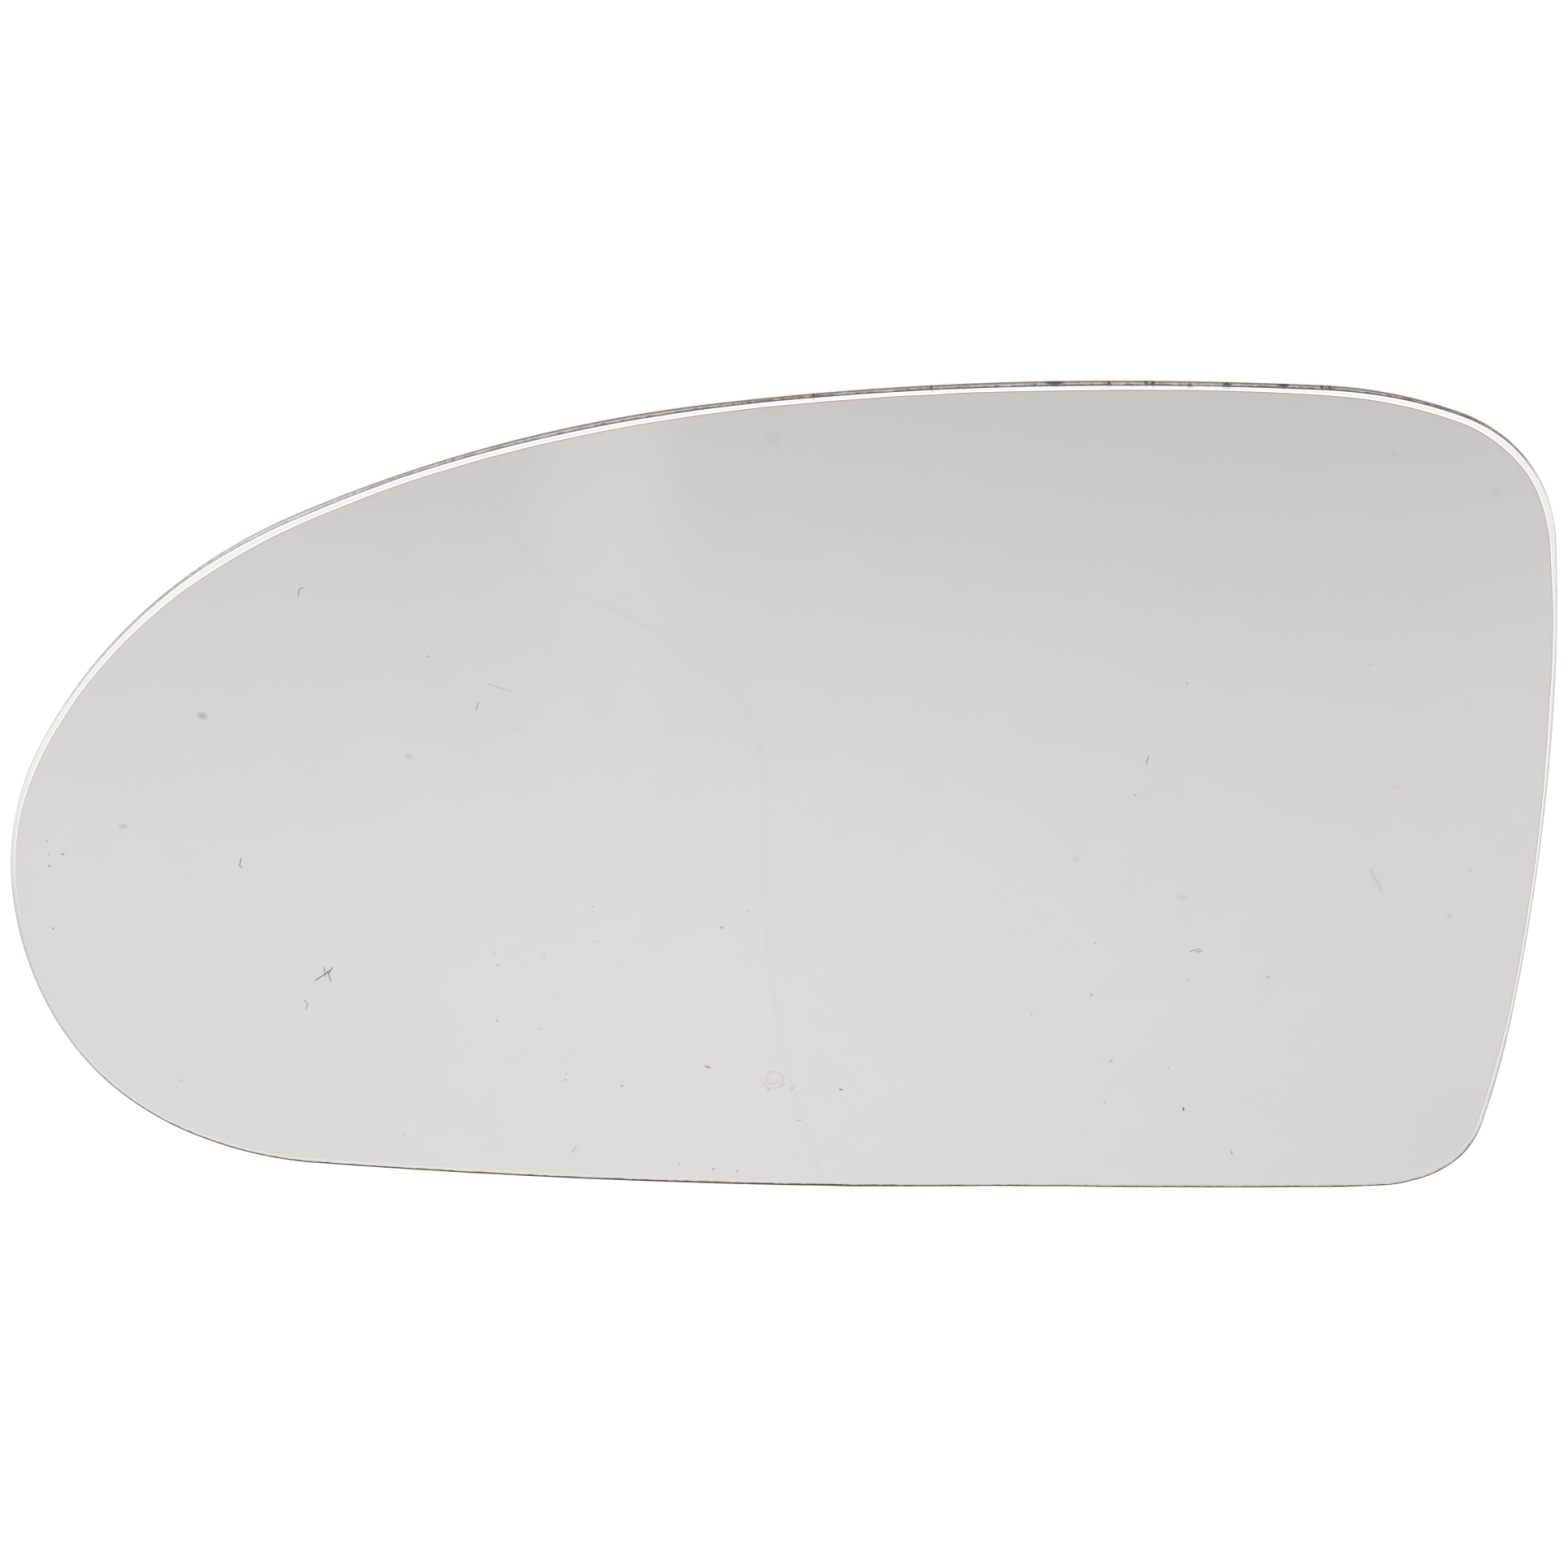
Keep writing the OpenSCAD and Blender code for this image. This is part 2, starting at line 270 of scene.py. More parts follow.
def make_glass(materials):
    """The whole sheet as one closed mesh. A point is the outline's point less the ring's distance inside
    along the outward vector, at the ring's height. The first and last rings close on a middle point."""
    rings = profile_rings()
    flat = [EDGE - r["inside"][:, None] * OUTWARD for r in rings]
    points = np.concatenate([np.column_stack([f, r["height"]]) for f, r in zip(flat, rings)])
    middles = np.array([[0, 0, GLASS_T], [0, 0, 0]])
    points = np.concatenate([points, middles]) * MM

    here = np.arange(STEPS)
    after = (here + 1) % STEPS
    level = np.arange(len(rings) - 1)[:, None] * STEPS
    quads = np.stack([level + here, level + STEPS + here, level + STEPS + after, level + after], axis=-1)
    last = (len(rings) - 1) * STEPS
    front, back = len(points) - 2, len(points) - 1
    front_fan = np.column_stack([np.full(STEPS, front), here, after])
    back_fan = np.column_stack([np.full(STEPS, back), last + after, last + here])
    corners = np.concatenate([quads.reshape(-1), front_fan.ravel(), back_fan.ravel()])
    sizes = np.concatenate([np.full(quads.size // 4, 4), np.full(2 * STEPS, 3)])
    band = np.array([BANDS.index(r["band"]) for r in rings[1:]])
    fans = np.repeat([BANDS.index("face"), BANDS.index("back")], STEPS)
    finish = np.concatenate([np.repeat(band, STEPS), fans])

    mesh = bpy.data.meshes.new("finished_mirror_glass")
    mesh.vertices.add(len(points))
    mesh.vertices.foreach_set("co", points.ravel())
    mesh.loops.add(len(corners))
    mesh.loops.foreach_set("vertex_index", corners)
    mesh.polygons.add(len(sizes))
    mesh.polygons.foreach_set("loop_start", np.append(0, np.cumsum(sizes)[:-1]))
    mesh.polygons.foreach_set("loop_total", sizes)
    mesh.polygons.foreach_set("material_index", finish)
    mesh.polygons.foreach_set("use_smooth", np.isin(finish, [BANDS.index("seam"), BANDS.index("wall")]))
    mesh.update(calc_edges=True)
    for material in materials:
        mesh.materials.append(material)

    values = {name: np.append(np.concatenate([r[name] for r in rings]), middle)
              for name, middle in (("rim_mm", MIDDLE), ("arris_mm", MIDDLE), ("cracked", [0, 0]))}
    by_heading = {
        "arris_dark": (ARRIS_HEADINGS, ARRIS_DARKNESS),
        "seam_painted_light": (SEAM_LIGHT_HEADINGS, SEAM_PAINTED_LIGHT),
        "film_bare": (BARE_HEADINGS, BARENESS),
        "shade_line_mm": (SHADE_LINE_HEADINGS, SHADE_LINE_WIDTHS),
    }
    for name, (headings, amounts) in by_heading.items():
        once = np.interp(HEADING, headings, amounts, period=360)
        values[name] = np.append(np.tile(once, len(rings)), [0, 0])
    for name, value in values.items():
        mesh.attributes.new(name, "FLOAT", "POINT").data.foreach_set("value", value)

    # The two arrises and the rim stay crisp: an edge that runs along one of those rings is sharp.
    names = [r["band"] for r in rings]
    arris_ring = names.index("wall") - 1
    crisp = [names.index("seam") - 1, arris_ring, arris_ring + 1, names.index("back") - 1]
    ends = np.zeros(2 * len(mesh.edges), int)
    mesh.edges.foreach_get("vertices", ends)
    ring_of = ends.reshape(-1, 2) // STEPS
    sharp = (ring_of[:, 0] == ring_of[:, 1]) & np.isin(ring_of[:, 0], crisp)
    mesh.attributes.new("sharp_edge", "BOOLEAN", "EDGE").data.foreach_set("value", sharp)
    mesh.validate()

    glass = bpy.data.objects.new("finished_mirror_glass", mesh)
    bpy.context.scene.collection.objects.link(glass)
    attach(glass, "root")
    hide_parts(NODE)


def linear(code):
    """A colour's sRGB hex code as the linear red, green, blue and alpha that Blender's sockets take."""
    parts = np.array([int(code[k:k + 2], 16) for k in (1, 3, 5)]) / 255
    low, high = parts / 12.92, ((parts + 0.055) / 1.055) ** 2.4
    return (*np.where(parts <= 0.04045, low, high), 1.0)


def node(tree, kind, inputs=(), **settings):
    """Adds a node, sets its properties, and gives each input, by name or number, a value or another
    node's output."""
    made = tree.nodes.new(kind)
    for name, value in settings.items():
        setattr(made, name, value)
    for key, value in dict(inputs).items():
        if isinstance(value, bpy.types.NodeSocket):
            tree.links.new(value, made.inputs[key])
        else:
            made.inputs[key].default_value = value
    return made


def new_material(name, *attributes):
    """An empty material with its node tree, the piece's own coordinates in millimetres and each of the
    mesh's attributes that it asks for."""
    material = bpy.data.materials.new(name)
    material.use_nodes = True
    tree = material.node_tree
    tree.nodes.clear()
    place = node(tree, "ShaderNodeTexCoord").outputs["Object"]
    place = node(tree, "ShaderNodeVectorMath", {0: place, 3: 1 / MM}, operation="SCALE").outputs[0]
    values = [node(tree, "ShaderNodeAttribute", attribute_name=name).outputs["Fac"] for name in attributes]
    return material, tree, place, *values


def finish_material(tree, shader):
    """Shows the shader as the material's surface."""
    node(tree, "ShaderNodeOutputMaterial", {"Surface": shader.outputs[0]})


def join(tree, masks):
    """The strongest of several masks at each place."""
    whole = masks[0]
    for mask in masks[1:]:
        whole = node(tree, "ShaderNodeMath", {0: whole, 1: mask}, operation="MAXIMUM").outputs[0]
    return whole


def coated(tree, base, *coats):
    """A base colour under several coats, each a mask with the colour that covers the last ones where the
    mask is 1. A colour is a hex code or a node's output."""
    colour = linear(base) if isinstance(base, str) else base
    for mask, coat in coats:
        coat = linear(coat) if isinstance(coat, str) else coat
        colour = node(tree, "ShaderNodeMix", {0: mask, 6: colour, 7: coat}, data_type="RGBA").outputs[2]
    return colour


# Half the thickness that a spot counts with, so large that only the place across the face matters.
SPOT_DEPTH = 100


def spot(tree, place, x, y, length, width, turn, strength, soft):
    """A mask of one spot: 1 inside an ellipse of this length and width, falling to 0 over the soft share
    of its size, times its strength."""
    inside = node(tree, "ShaderNodeMapping", {
        "Vector": place,
        "Location": (x, y, GLASS_T),
        "Rotation": (0, 0, np.radians(turn)),
        "Scale": (length / 2, width / 2, SPOT_DEPTH),
    }, vector_type="TEXTURE").outputs[0]
    reach = node(tree, "ShaderNodeVectorMath", {0: inside}, operation="LENGTH").outputs["Value"]
    return node(tree, "ShaderNodeMapRange", {
        "Value": reach, "From Min": 1 - soft, "From Max": 1 + soft, "To Min": strength, "To Max": 0,
    }, interpolation_type="SMOOTHSTEP").outputs[0]


def stroke(tree, place, points, width, strength, soft):
    """A mask of a line through several points: for each stretch, the distance from its nearest point,
    which is the place's share along the stretch kept within 0 to 1, under half the width."""
    def stretch(x0, y0, x1, y1):
        """The mask of one straight stretch."""
        along = np.array([x1 - x0, y1 - y0, 0])
        start = (x0, y0, GLASS_T)
        there = node(tree, "ShaderNodeVectorMath", {0: place, 1: start}, operation="SUBTRACT").outputs[0]
        share = node(tree, "ShaderNodeVectorMath", {0: there, 1: along / (along @ along)},
                     operation="DOT_PRODUCT").outputs["Value"]
        share = node(tree, "ShaderNodeClamp", {"Value": share}).outputs[0]
        near = node(tree, "ShaderNodeVectorMath", {0: tuple(along), 3: share}, operation="SCALE").outputs[0]
        far = node(tree, "ShaderNodeVectorMath", {0: there, 1: near}, operation="DISTANCE").outputs["Value"]
        return node(tree, "ShaderNodeMapRange", {
            "Value": far, "From Min": width / 2 * (1 - soft), "From Max": width / 2 * (1 + soft),
            "To Min": strength, "To Max": 0,
        }, interpolation_type="SMOOTHSTEP").outputs[0]

    return join(tree, [stretch(*start, *end) for start, end in zip(points[:-1], points[1:])])


# Marks on the front face, in mm from the middle of the glass.
# Grit: x, y, length, width, turn in degrees, strength. With 58 of them Cycles drew the whole face black,
# and with 45 it did not, so only the clearest are kept.
GRIT = [
    (47.6, -40.4, 0.24, 0.5, 5, 0.7), (7.3, -37.8, 0.42, 0.24, -3, 0.6), (-82.8, -7.0, 0.4, 0.22, -5, 0.52),
    (-84.4, -8.5, 0.26, 0.26, 0, 0.5), (-84.3, -16.6, 0.3, 0.24, 25, 0.42),
    (-84.6, -5.3, 0.24, 0.24, 0, 0.32), (-84.4, -7.0, 0.24, 0.24, 0, 0.32),
    (-6.6, -16.5, 0.4, 0.3, 0, 0.33), (53.4, -46.2, 0.24, 0.4, 10, 0.4), (-55.3, -26.1, 0.3, 0.26, 0, 0.4),
    (-18.4, -37.3, 0.3, 0.24, 20, 0.42), (36.5, -25.3, 0.4, 0.24, 15, 0.32),
    (39.0, -34.0, 0.36, 0.26, 0, 0.32), (2.4, -41.9, 0.65, 0.16, 0, 0.28), (1.6, -37.6, 0.5, 0.25, 0, 0.22),
    (-32.9, -28.7, 0.4, 0.25, -20, 0.25), (-40.1, 18.2, 0.22, 0.22, 0, 0.45),
    (-25.0, -36.5, 0.4, 0.35, 0, 0.17), (46.8, 14.8, 0.24, 0.22, 0, 0.4), (41.1, 0.6, 0.3, 0.3, 0, 0.25),
    (-32.7, -21.4, 0.34, 0.22, 10, 0.27), (-70.1, -36.6, 0.4, 0.35, 0, 0.15),
    (-1.2, -37.8, 0.32, 0.2, 0, 0.3), (-21.6, -13.8, 0.4, 0.35, 0, 0.14),
    (36.8, -18.5, 0.32, 0.28, 0, 0.21), (38.3, -39.5, 0.36, 0.18, 3, 0.28),
    (-44.0, -43.8, 0.4, 0.35, 0, 0.14), (-11.7, -47.8, 0.2, 0.18, 0, 0.45),
    (47.7, -23.4, 0.32, 0.2, 0, 0.27), (67.7, 17.2, 0.24, 0.22, 0, 0.3), (45.7, -35.0, 0.24, 0.22, 0, 0.28),
    (29.6, -27.9, 0.26, 0.26, 0, 0.22), (-24.9, -35.7, 0.3, 0.3, 0, 0.16),
    (-27.8, -29.8, 0.28, 0.28, 0, 0.17), (-27.3, -20.4, 0.25, 0.25, 0, 0.21),
    (-21.1, -18.4, 0.5, 0.14, 0, 0.18), (44.5, -23.6, 0.26, 0.22, 0, 0.2),
    (-33.1, -19.8, 0.24, 0.2, 0, 0.18), (-3.5, -14.4, 0.3, 0.3, 0, 0.13), (-7.7, -48.4, 0.4, 0.24, 15, 0.4),
    (-4.9, -48.7, 0.24, 0.24, 0, 0.4),
]
# Rust specks, in the same order.
RUST = [(-8.3, -34.8, 0.75, 0.3, -18, 0.5), (71.2, 1.6, 0.8, 0.6, 0, 0.08)]
# Dried drops, in the same order. The last, broad and faint one is no drop but painted shade: a darker patch
# of the reflection near the lower right corner.
DROPS_AND_PAINTED_SHADE = [
    (-66.1, 10.7, 1.0, 0.75, -15, 0.36), (-75.7, -3.4, 0.95, 0.6, 0, 0.22), (-42.5, 5.5, 0.85, 0.75, 0, 0.15),
    (-0.6, 45.2, 1.6, 1.5, 0, 0.07), (81.2, 38.9, 1.4, 1.3, 0, 0.06), (34.4, -7.6, 0.9, 0.55, 0, 0.1),
    (46.9, -12.6, 1.25, 0.65, 5, 0.12), (-30.0, 8.9, 0.9, 0.9, 0, 0.06), (77.9, -15.0, 0.6, 0.7, 0, 0.11),
    (80.1, -9.1, 0.6, 0.6, 0, 0.11), (69.5, 43.4, 0.8, 0.7, 0, 0.08), (78.5, -43.5, 13, 8, 50, 0.035),
]
# Hair scratches: the points that each runs through, and its strength.
SCRATCHES = [
    ([(-54.7, 25.8), (-54.5, 26.7), (-54.1, 26.8)], 0.5),
    ([(-62.2, -7.6), (-62.4, -8.5), (-62.1, -8.7)], 0.6),
    ([(-54.0, -23.4), (-52.1, -22.0)], 0.8), ([(-53.0, -21.7), (-52.8, -22.9)], 0.6),
    ([(-52.6, -22.2), (-52.2, -23.5)], 0.6), ([(-52.5, -22.6), (-52.0, -21.7)], 0.7),
    ([(-55.2, -27.2), (-55.0, -26.3)], 0.5), ([(-34.7, 11.4), (-34.4, 12.3)], 0.4),
    ([(42.3, 4.6), (42.6, 5.6)], 0.5), ([(47.9, -19.6), (49.1, -19.3)], 0.5),
    ([(48.6, -19.7), (49.3, -19.6)], 0.5), ([(57.0, -23.1), (57.2, -22.8)], 0.5),
    ([(-33.2, 14.7), (-30.6, 13.8)], 0.2), ([(-24.4, -46.2), (-23.8, -45.4)], 0.25),
]
# How wide a hair scratch is in mm, and the share of its width over which it fades.
SCRATCH_WIDTH, SCRATCH_SOFT = 0.12, 0.4
# A faint wiping streak from the top edge to the bottom one, and one short dull scrape: the points that
# each runs through, and its look, which is a width in mm, a strength and the share that fades.
WIPE = [(-31.7, 42.7), (-29.6, 33.2), (-24.6, 27.2), (-12.1, 20.2), (-4.1, 12.2), (-1.6, 2.2), (-1.6, -13.8),
        (0.4, -31.8), (4.9, -49.2)]
WIPE_LOOK = (0.7, 0.025, 0.9)
SCRAPE = [(68.6, -9.1), (69.9, -11.6)]
SCRAPE_LOOK = (0.35, 0.14, 0.7)
# A curled lint fibre: its middle, the radii where it begins and ends, how much each turn adds, its
# thickness, how much it covers, and the tail's points and look.
LINT = (-0.6, -36.4)
LINT_START, LINT_END, LINT_TURN, LINT_WIDTH = 0.55, 1.35, 0.55, 0.1
LINT_COVER = 0.22
LINT_TAIL = [(0.7, -37.0), (0.2, -37.7)]
LINT_TAIL_LOOK = (LINT_WIDTH, 1, 0.5)
# How softly a dried drop and the patch of painted shade, a speck of grit and one of rust fade, as a share of
# their size.
DROP_AND_SHADE_SOFT, GRIT_SOFT, RUST_SOFT = 0.8, 0.25, 0.5
# Dust: the size in mm of the cells that hold one grain at most, a grain's largest radius as a share of a
# cell, and how much it covers.
DUST_CELL, DUST_GRAIN, DUST_COVER = 4, 0.035, 0.25


def lint_mask(tree, place):
    """The curled fibre: how far the place's radius, counted in turns, is from its angle, counted in
    turns, to the nearest whole number. It stops at the last turn's radius."""
    middle = (*LINT, GLASS_T)
    there = node(tree, "ShaderNodeVectorMath", {0: place, 1: middle}, operation="SUBTRACT").outputs[0]
    parts = node(tree, "ShaderNodeSeparateXYZ", {0: there}).outputs
    angle = node(tree, "ShaderNodeMath", {0: parts["Y"], 1: parts["X"]}, operation="ARCTAN2").outputs[0]
    angle = node(tree, "ShaderNodeMath", {0: angle, 1: 2 * np.pi}, operation="DIVIDE").outputs[0]
    reach = node(tree, "ShaderNodeVectorMath", {0: there}, operation="LENGTH").outputs["Value"]
    turns = node(tree, "ShaderNodeMath", {0: reach, 1: 1 / LINT_TURN, 2: angle},
                 operation="MULTIPLY_ADD").outputs[0]
    off = node(tree, "ShaderNodeMath", {0: turns, 1: 0.5}, operation="PINGPONG").outputs[0]
    line = node(tree, "ShaderNodeMapRange", {
        "Value": off, "From Min": 0.3 * LINT_WIDTH / LINT_TURN, "From Max": LINT_WIDTH / LINT_TURN,
        "To Min": 1, "To Max": 0,
    }, interpolation_type="SMOOTHSTEP").outputs[0]
    begun = node(tree, "ShaderNodeMath", {0: reach, 1: LINT_START}, operation="GREATER_THAN").outputs[0]
    going = node(tree, "ShaderNodeMath", {0: reach, 1: LINT_END}, operation="LESS_THAN").outputs[0]
    part = node(tree, "ShaderNodeMath", {0: begun, 1: going}, operation="MULTIPLY").outputs[0]
    curl = node(tree, "ShaderNodeMath", {0: line, 1: part}, operation="MULTIPLY").outputs[0]
    return join(tree, [curl, stroke(tree, place, LINT_TAIL, *LINT_TAIL_LOOK)])


def rounded(points, parts=3):
    """More points along a smooth curve through the given ones: on each stretch the Hermite cubic with the
    tangents (next point - last point) / 2, which are one-sided at the two ends."""
    points = np.array(points, float)
    tangents = np.gradient(points, axis=0)
    share = np.linspace(0, 1, parts, endpoint=False)[None, :, None]
    p0, p1, t0, t1 = points[:-1, None], points[1:, None], tangents[:-1, None], tangents[1:, None]
    smooth = share ** 2 * (3 - 2 * share)
    curve = p0 + (p1 - p0) * smooth + t0 * share * (1 - share) ** 2 - t1 * share ** 2 * (1 - share)
    return [tuple(p) for p in np.vstack([curve.reshape(-1, 2), points[-1]])]


def chromed_front():
    """Chromium film sputtered on float glass: a neutral mirror that sends back a little over half of the
    light, slightly warm, with thin haze, dust, dried drops, grit, hair scratches and one lint fibre, and a
    broad patch of painted shade that darkens the reflection near the lower right corner."""
    material, tree, place, rim, bare = new_material("chromium_mirror_film", "rim_mm", "film_bare")

    # Haze left by wiping, in clouds about 25 mm and 5 mm across.
    broad = node(tree, "ShaderNodeTexNoise", {"Vector": place, "Scale": 1 / 25, "Detail": 3}).outputs[0]
    fine = node(tree, "ShaderNodeTexNoise", {"Vector": place, "Scale": 1 / 5, "Detail": 4}).outputs[0]
    haze = node(tree, "ShaderNodeMath", {0: broad, 1: fine}, operation="MULTIPLY").outputs[0]
    film = node(tree, "ShaderNodeMapRange", {"Value": broad, "From Min": 0.35, "From Max": 0.65}).outputs[0]
    tone = node(tree, "ShaderNodeMapRange", {"Value": fine, "From Min": 0.3, "From Max": 0.7,
                                             "To Min": 0, "To Max": 0.03}).outputs[0]

    # Dust: grains about 0.1 mm across, drawn up to nearly 0.3 mm so that they show.
    cell = node(tree, "ShaderNodeTexVoronoi", {"Vector": place, "Scale": 1 / DUST_CELL, "Randomness": 1})
    pick = node(tree, "ShaderNodeSeparateColor", {0: cell.outputs["Color"]}).outputs
    size = node(tree, "ShaderNodeMapRange", {"Value": pick["Red"], "From Min": 0.6, "From Max": 1,
                                             "To Min": 0, "To Max": DUST_GRAIN}).outputs[0]
    dust = node(tree, "ShaderNodeMath", {0: cell.outputs["Distance"], 1: size},
                operation="LESS_THAN").outputs[0]
    dust = node(tree, "ShaderNodeMath", {0: dust, 1: DUST_COVER}, operation="MULTIPLY").outputs[0]

    wipe = stroke(tree, place, rounded(WIPE), *WIPE_LOOK)
    scrape = stroke(tree, place, SCRAPE, *SCRAPE_LOOK)
    # Dried drops, and one broad patch of painted shade on the reflection near the lower right corner.
    drops_and_shade = join(tree, [spot(tree, place, *mark, soft=DROP_AND_SHADE_SOFT) for mark in DROPS_AND_PAINTED_SHADE])
    dulled_and_shaded = join(tree, [drops_and_shade, wipe, scrape, dust])
    scratches = join(tree, [stroke(tree, place, way, SCRATCH_WIDTH, much, SCRATCH_SOFT)
                            for way, much in SCRATCHES])
    grit = join(tree, [spot(tree, place, *mark, soft=GRIT_SOFT) for mark in GRIT] + [scratches])
    rust = join(tree, [spot(tree, place, *mark, soft=RUST_SOFT) for mark in RUST])
    lint = node(tree, "ShaderNodeMath", {0: lint_mask(tree, place), 1: LINT_COVER},
                operation="MULTIPLY").outputs[0]

    # The film's bare border, worn thin by the grinding wheel: a tan line along the rim.
    border = node(tree, "ShaderNodeMapRange", {"Value": rim, "From Min": 0.6 * RIM_LINE, "From Max": RIM_LINE,
                                               "To Min": bare, "To Max": 0}).outputs[0]
    # The dull coat is real haze, dust, drops and scrapes, and also one broad patch of painted shade.
    colour = coated(tree, "#C5C4C2", (film, "#C6C4C2"), (tone, "#A8A69F"), (dulled_and_shaded, "#6E6F6B"),
                    (grit, "#2B2724"), (rust, "#7A4A22"), (lint, "#8E6F68"), (border, "#B08F7E"))

    covered = join(tree, [grit, rust, lint])
    metallic = node(tree, "ShaderNodeMapRange", {"Value": covered, "To Min": 1, "To Max": 0.1}).outputs[0]
    roughness = node(tree, "ShaderNodeMapRange", {"Value": haze, "From Min": 0.1, "From Max": 0.5,
                                                  "To Min": 0.02, "To Max": 0.07}).outputs[0]
    marked = join(tree, [covered, dulled_and_shaded])
    roughness = node(tree, "ShaderNodeMix", {0: marked, 2: roughness, 3: 0.6}).outputs[0]
    shader = node(tree, "ShaderNodeBsdfPrincipled",
                  {"Base Color": colour, "Metallic": metallic, "Roughness": roughness})
    finish_material(tree, shader)
    return material


# Grinding lines: the spacing they are drawn with, in mm, and how little they change along the seam.
GRIND_SPACING = 0.12
GRIND_STRETCH = 0.15
# Over how much of the seam's dark line, which is partly painted shade, it ends softly, in mm.
SHADE_LINE_SOFT = 0.08


def ground_seam():
    """Float glass ground with a fine diamond belt: a frosted, pale grey seam, painted lighter by heading as
    light and shade, with a painted highlight as a whiter line along each border and faint lines along it,
    which ends at the arris in a dark broken line that is partly the rough arris and partly painted shade."""
    material, tree, place, rim, arris, darkness, painted_light, shade_line_width = new_material(
        "belt_ground_glass", "rim_mm", "arris_mm", "arris_dark", "seam_painted_light", "shade_line_mm")

    # Grinding lines 0.03 mm apart are too fine to show, so they are drawn further apart.
    stretched = node(tree, "ShaderNodeVectorMath", {0: place, 1: (GRIND_STRETCH, GRIND_STRETCH, 0)},
                     operation="MULTIPLY").outputs[0]
    across = node(tree, "ShaderNodeCombineXYZ", {"Z": rim}).outputs[0]
    across = node(tree, "ShaderNodeVectorMath", {0: across, 3: 1 / GRIND_SPACING},
                  operation="SCALE").outputs[0]
    lines = node(tree, "ShaderNodeVectorMath", {0: stretched, 1: across}, operation="ADD").outputs[0]
    lines = node(tree, "ShaderNodeTexNoise", {"Vector": lines, "Scale": 1, "Detail": 2}).outputs[0]
    frost = node(tree, "ShaderNodeMapRange", {"Value": lines, "From Min": 0.3, "From Max": 0.7}).outputs[0]

    # Each border is polished by the finer belt over 0.15 mm. Its whiter look is a painted highlight: a
    # near-white line along each border, brighter where the seam is painted lighter.
    by_rim = node(tree, "ShaderNodeMapRange",
                  {"Value": rim, "From Min": -0.22, "From Max": -0.08}).outputs[0]
    by_arris = node(tree, "ShaderNodeMapRange",
                    {"Value": arris, "From Min": 0.25, "From Max": 0.1}).outputs[0]
    shine = node(tree, "ShaderNodeMapRange", {"Value": painted_light, "To Min": 0.2, "To Max": 1}).outputs[0]
    painted_border_highlight = node(tree, "ShaderNodeMath", {0: join(tree, [by_rim, by_arris]), 1: shine},
                    operation="MULTIPLY").outputs[0]

    # The arris: a ragged dark line, partly the rough arris and partly painted shade where the edge looks dark
    # through the glass.
    ragged = node(tree, "ShaderNodeTexNoise", {"Vector": place, "Scale": 1 / 0.8, "Detail": 3}).outputs[0]
    ragged = node(tree, "ShaderNodeMapRange", {"Value": ragged, "From Min": 0.3, "From Max": 0.7,
                                               "To Min": 0.7, "To Max": 1}).outputs[0]
    reach = node(tree, "ShaderNodeMath", {0: shade_line_width, 1: ragged}, operation="MULTIPLY").outputs[0]
    over = node(tree, "ShaderNodeMath", {0: reach, 1: arris}, operation="SUBTRACT").outputs[0]
    dark = node(tree, "ShaderNodeMapRange",
                {"Value": over, "From Min": 0, "From Max": SHADE_LINE_SOFT}).outputs[0]
    dark = node(tree, "ShaderNodeMath", {0: dark, 1: darkness}, operation="MULTIPLY").outputs[0]
    # Painted light on the seam, by heading: the pale coat makes it whiter along the top.
    pale = coated(tree, "#DCDCDC", (frost, "#E4E4E3"))
    # The colour of the dark line: partly the rough arris, partly painted shade.
    line = coated(tree, "#422D1B", (painted_light, "#3E3128"))
    # Over the seam's grey: painted light by heading, a painted highlight along each border, and the dark
    # line, which is partly painted shade.
    colour = coated(tree, "#BBBAB8", (frost, "#C2C1BF"), (painted_light, pale),
                    (painted_border_highlight, "#F2F2F2"), (dark, line))
    height = node(tree, "ShaderNodeBump",
                  {"Height": lines, "Strength": 0.25, "Distance": 0.02 * MM}).outputs[0]
    shader = node(tree, "ShaderNodeBsdfPrincipled", {"Base Color": colour, "Roughness": 0.7,
                                                     "Specular IOR Level": 0.1, "Normal": height})
    finish_material(tree, shader)
    return material


